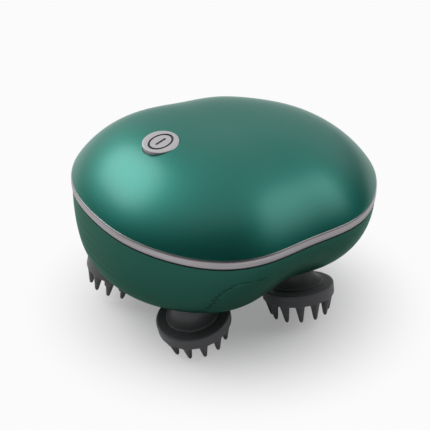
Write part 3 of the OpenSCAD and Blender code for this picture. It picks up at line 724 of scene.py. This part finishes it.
class MASSAGER_OT_heads(bpy.types.Operator):
    """Builds the four soft heads with their rings of prongs, and finishes the collars"""
    bl_idname = "massager.heads"
    bl_label = "Kneading Heads"

    def execute(self, context):
        h = context.scene.massager_heads
        rubber = silicone("moulded_silicone", h.silicone)
        collar = moulded("moulded_collar_abs", h.collar, 0.42)
        top, base = -h.rim_top, -h.rim_top - h.rim_t
        neck, bell, rim = h.neck_r, h.bell_r, h.rim_r
        # From the bore down the neck, out over its flared foot and round the rim, in millimetres
        # from the named radius and height
        section = [(0, 4.05, 0, -1), (neck, -0.5, 0, -1), (neck, 0, 0, -1.6),
                   (neck, 0.05, top, 5.4), (neck, 0.3, top, 4), (neck, 0.8, top, 2.9),
                   (neck, 1.6, top, 2), (bell, -0.8, top, 1.4), (bell, -0.1, top, 1.1),
                   (bell, 0, top, 0.7), (bell, -0.3, top, 0), (rim, -0.7, top, 0),
                   (rim, -0.05, top, -0.3), (rim, 0, top, -1.2), (rim, -0.1, base, 0.4),
                   (rim, -0.4, base, 0), (0, 1, base, 0)]
        profile = rounded([(r + dr * MM, z + dz * MM) for r, dr, z, dz in section], 0.6 * MM)
        tree = prong_tree()
        full = h.prong_len
        prong = {"Root Radius": h.root_r, "Lean": 0.0, "Turn": 0.0, "Material": rubber}
        rings = [dict(prong, Count=h.outer, Length=full, Lean=math.atan2(h.tip_in, full)),
                 dict(prong, Count=h.inner, Length=full - 0.6 * MM, Turn=math.pi / h.inner),
                 dict(prong, Count=1, Length=full - 1 * MM)]
        for inputs, r in zip(rings, (rim - h.root_r - 0.35 * MM, h.inner_r, 0.0)):
            inputs["Ring Radius"] = r
        for key in HEAD_LEANS:
            place = head_place(h, key)
            data = loft("head_bell_" + key, turned(profile, 96),
                        None, Vector((0, 0, base)))
            prongs = merged([grow(tree, "prongs", inputs) for inputs in rings],
                            "head_prongs_" + key)
            prongs.transform(Matrix.Translation((0, 0, base)))
            for label, mesh, sharp in (("head_bell_", data, 50), ("head_prongs_", prongs, 60)):
                mesh.transform(place)
                smooth(mesh, sharp)
                obj = piece(label + key, mesh)
                dress(obj, rubber)
                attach(obj, "head_" + key)
                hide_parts("head_" + key)
            dress(frame["nodes"]["collar_" + key], collar)
        return {"FINISHED"}


class MASSAGER_OT_button(bpy.types.Operator):
    """Builds the brushed button with its engraved mark"""
    bl_idname = "massager.button"
    bl_label = "Power Button"

    def execute(self, context):
        s = context.scene.massager_shell
        b = context.scene.massager_button
        place = button_place(s, b)
        r, groove = b.radius, b.groove
        top, low = b.proud, b.proud - b.thickness
        mark = place @ Matrix.Rotation(b.mark_turn, 4, "Z")
        # Radius, height and squash of each ring: the engraved oval is 0.775 as tall as it is
        # wide, and the rings outside it change to the round rim
        oval = 0.775
        section = [(0.6 * r, top, oval), (0.63 * r, top, oval), (0.65 * r, top - groove, oval),
                   (0.745 * r, top - groove, oval), (0.765 * r, top, oval), (0.8 * r, top, 0.82),
                   (0.88 * r, top, 0.93), (r - 0.45 * MM, top, 1),
                   (r - 0.18 * MM, top - 0.06 * MM, 1), (r - 0.03 * MM, top - 0.22 * MM, 1),
                   (r, top - 0.5 * MM, 1), (r, low, 1)]
        rings = [[mark @ Vector((reach * math.cos(a), reach * squash * math.sin(a), z))
                  for a in around(96)] for reach, z, squash in section]
        data = loft("button_disc", rings, place @ Vector((0, 0, top)),
                    place @ Vector((0, 0, low)))
        obj = piece("button_disc", data)
        # The slot of the mark is a bar with round ends, cut into the disc
        half, end, above = 0.29 * r, 0.45 * MM, top + 1 * MM
        bar = [[mark @ Vector((math.copysign(half, math.cos(a)) + end * math.cos(a),
                               end * math.sin(a), z)) for a in around(32)]
               for z in (top - groove, above)]
        slot = loft("bar", bar, place @ Vector((0, 0, top - groove)),
                    place @ Vector((0, 0, above)))
        data = carve(obj, slot, "button_disc")
        smooth(data, 30)
        dress(obj, brushed_button("brushed_aluminium", b.metal))
        data.materials.append(moulded("engraving_paint", b.fill, 0.6))
        # The engraving's floor and walls take the dark fill
        inverse = place.inverted()
        for face in data.polygons:
            spot = inverse @ face.center
            if spot[2] < top - 0.05 * MM and spot.xy.length < 0.85 * r:
                face.material_index = 1
        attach(obj, "button")
        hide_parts("button_cap")
        return {"FINISHED"}


class MASSAGER_OT_works(bpy.types.Operator):
    """Finishes the drive, the power parts and the fasteners inside the casing"""
    bl_idname = "massager.works"
    bl_label = "Inner Works"

    def execute(self, context):
        finishes = {
            "acetal_gear": moulded("natural_acetal", srgb("#e4e0d4"), 0.35),
            "nylon_plate": moulded("glass_filled_nylon", srgb("#cfcabc"), 0.55),
            "black_plastic": moulded("black_abs", srgb("#222326"), 0.4),
            "carrier_plastic": moulded("carrier_nylon", srgb("#2a2b2d"), 0.45),
            "motor_cap": moulded("blue_end_cap", srgb("#2e4f80"), 0.4),
            "seal_rubber": silicone("nitrile_seal", srgb("#1c1c1e"), 0.6),
            "bush_bronze": turned_metal("sintered_bronze", srgb("#b08d4a"), 0.42),
            "brass": turned_metal("turned_brass", srgb("#c9a95c"), 0.28),
            "gold_contact": turned_metal("plated_contact", srgb("#d9b65f"), 0.18),
            "shaft_steel": turned_metal("ground_steel", srgb("#b9bcc0"), 0.2),
            "screw_steel": turned_metal("zinc_plated_steel", srgb("#94979b"), 0.32),
            "motor_steel": turned_metal("drawn_steel_can", srgb("#b4b7ba"), 0.3, (1, 1, 6)),
            "cell_wrap": moulded("cell_shrink_film", srgb("#2f6fb0"), 0.25, 1.2, 0.01),
            "circuit_board": circuit("glass_epoxy_board", srgb("#1d5b34")),
        }
        slots = {p["node"]: p["material_slot"] for p in frame["record"]["subparts"]}
        for name, obj in frame["nodes"].items():
            if slots.get(name) in finishes:
                dress(obj, finishes[slots[name]])
        return {"FINISHED"}


def bearing(azimuth, elevation):
    """Unit vector towards this bearing, given in degrees."""
    az, el = math.radians(azimuth), math.radians(elevation)
    return Vector((math.cos(el) * math.cos(az), math.cos(el) * math.sin(az), math.sin(el)))


def spread(tree, value, source, target):
    """Maps a value from one range to another with smooth ends."""
    return add(tree, "ShaderNodeMapRange",
               {"From Min": source[0], "From Max": source[1],
                "To Min": target[0], "To Max": target[1]},
               {"Value": value}, interpolation_type="SMOOTHSTEP")


def area_light(name, azimuth, elevation, distance, size, power):
    """A soft box at this bearing from the object, facing it."""
    data = bpy.data.lights.new(name, "AREA")
    data.shape = "ELLIPSE"
    data.size, data.size_y = size
    data.energy = power
    obj = piece(name, data)
    away = bearing(azimuth, elevation)
    obj.location = LIT_POINT + away * distance
    obj.rotation_euler = away.to_track_quat("Z", "Y").to_euler()


class MASSAGER_OT_stage(bpy.types.Operator):
    """Sets the camera, the soft lights, the world and the pale floor"""
    bl_idname = "massager.stage"
    bl_label = "Stage"

    def execute(self, context):
        t = context.scene.massager_stage
        scene = context.scene
        camera = bpy.data.cameras.new("camera")
        camera.sensor_width = 36.0
        camera.lens = FOCAL_PX * camera.sensor_width / PICTURE_PX
        camera.clip_end = 20
        eye = piece("camera", camera)
        eye.location = MID + EYE * MM
        eye.rotation_euler = AHEAD.to_track_quat("-Z", "Y").to_euler()
        scene.camera = eye
        scene.view_settings.view_transform = "Standard"

        half = t.floor
        data = bpy.data.meshes.new("floor")
        data.from_pydata([(-half, -half, 0), (half, -half, 0), (half, half, 0), (-half, half, 0)],
                         [], [(0, 1, 2, 3)])
        floor = piece("floor", data)
        made, tree, shader = material("matte_paper_floor")
        set_inputs(shader, Base_Color=t.floor_colour, Roughness=0.9)
        shader.inputs["Specular IOR Level"].default_value = 0.1
        glow = add(tree, "ShaderNodeEmission", {"Color": srgb("#fbfbfb"), "Strength": 1.0})
        path = add(tree, "ShaderNodeLightPath")
        direct = add(tree, "ShaderNodeMath", operation="ADD",
                     links={0: (path, "Is Camera Ray"), 1: (path, "Is Transmission Ray")})
        # Near the object the paper shows the lamps' real shadow and also a painted shade: its glow
        # is held back there and comes up to full further away. In reflections the paper is painted
        # darker near the object in the same way.
        coords = add(tree, "ShaderNodeTexCoord")
        reach = add(tree, "ShaderNodeVectorMath", links={0: (coords, "Object")}, operation="LENGTH")
        # Painted shade on the floor round the object, fading out with distance
        painted_floor_shade = spread(tree, (reach, "Value"), (0.025, 0.085), (0.28, 1.0))
        # Painted shade on the floor as seen in reflections, darkest near the object
        painted_reflected_shade = spread(tree, (reach, "Value"), (0.08, 0.2), (0.08, 0.85))
        gloss = add(tree, "ShaderNodeMath", links={0: (path, "Is Glossy Ray"), 1: (painted_reflected_shade, 0)},
                    operation="MULTIPLY")
        some = add(tree, "ShaderNodeMath", links={0: (direct, 0), 1: (painted_floor_shade, 0), 2: (gloss, 0)},
                   operation="MULTIPLY_ADD")
        mix = add(tree, "ShaderNodeMixShader", links={0: (some, 0), 1: (shader, 0), 2: (glow, 0)})
        tree.links.new(mix.outputs[0], tree.nodes["Material Output"].inputs["Surface"])
        data.materials.append(made)

        area_light("left_back_box", 118, 36, 0.75, (0.55, 0.45), t.left)
        area_light("front_box", -140, 8, 0.9, (0.5, 0.3), t.fill)
        world = bpy.data.worlds.new("studio")
        scene.world = world
        world.use_nodes = True
        tree = world.node_tree
        shine = tree.nodes["Background"]
        shine.inputs["Color"].default_value = srgb("#ffffff")
        # The room is pale above and behind, a little brighter to the right, and dark in front
        sight = add(tree, "ShaderNodeTexCoord")
        total = None
        # Middle of each bright patch, the degrees from it where it starts and ends to fade, and
        # the brightness beyond it and in it
        patches = ((bearing(68, 54), 48, 70, t.room, t.room + t.wall),
                   (bearing(-27, 41), 4, 22, 0.0, t.side))
        for aim, narrow, wide, low, high in patches:
            facing = add(tree, "ShaderNodeVectorMath", {1: aim}, {0: (sight, "Generated")},
                         operation="DOT_PRODUCT")
            edges = [math.cos(math.radians(degrees)) for degrees in (wide, narrow)]
            part = spread(tree, (facing, "Value"), edges, (low, high))
            if total is not None:
                part = add(tree, "ShaderNodeMath", links={0: (total, 0), 1: (part, 0)},
                           operation="ADD")
            total = part
        tree.links.new(total.outputs[0], shine.inputs["Strength"])
        return {"FINISHED"}


OPERATORS = (MASSAGER_OT_top_cover, MASSAGER_OT_trim, MASSAGER_OT_lower_casing, MASSAGER_OT_heads,
             MASSAGER_OT_button, MASSAGER_OT_works, MASSAGER_OT_stage)


class MASSAGER_PT_panel(bpy.types.Panel):
    """Lists the steps that dress the massager"""
    bl_label = "Massager"
    bl_idname = "MASSAGER_PT_panel"
    bl_space_type = "VIEW_3D"
    bl_region_type = "UI"
    bl_category = "Massager"

    def draw(self, context):
        for step in OPERATORS:
            self.layout.operator(step.bl_idname)
        for name, group in GROUPS.items():
            column = self.layout.column()
            for prop in group.__annotations__:
                column.prop(getattr(context.scene, name), prop)


CLASSES = (*GROUPS.values(), *OPERATORS, MASSAGER_PT_panel)


def register():
    for cls in CLASSES:
        bpy.utils.register_class(cls)
    for name, group in GROUPS.items():
        setattr(bpy.types.Scene, name, bpy.props.PointerProperty(type=group))


def unregister():
    for name in GROUPS:
        delattr(bpy.types.Scene, name)
    for cls in reversed(CLASSES):
        bpy.utils.unregister_class(cls)


def main():
    register()
    for step in OPERATORS:
        family, action = step.bl_idname.split(".")
        getattr(getattr(bpy.ops, family), action)()


if __name__ == "__main__":
    main()
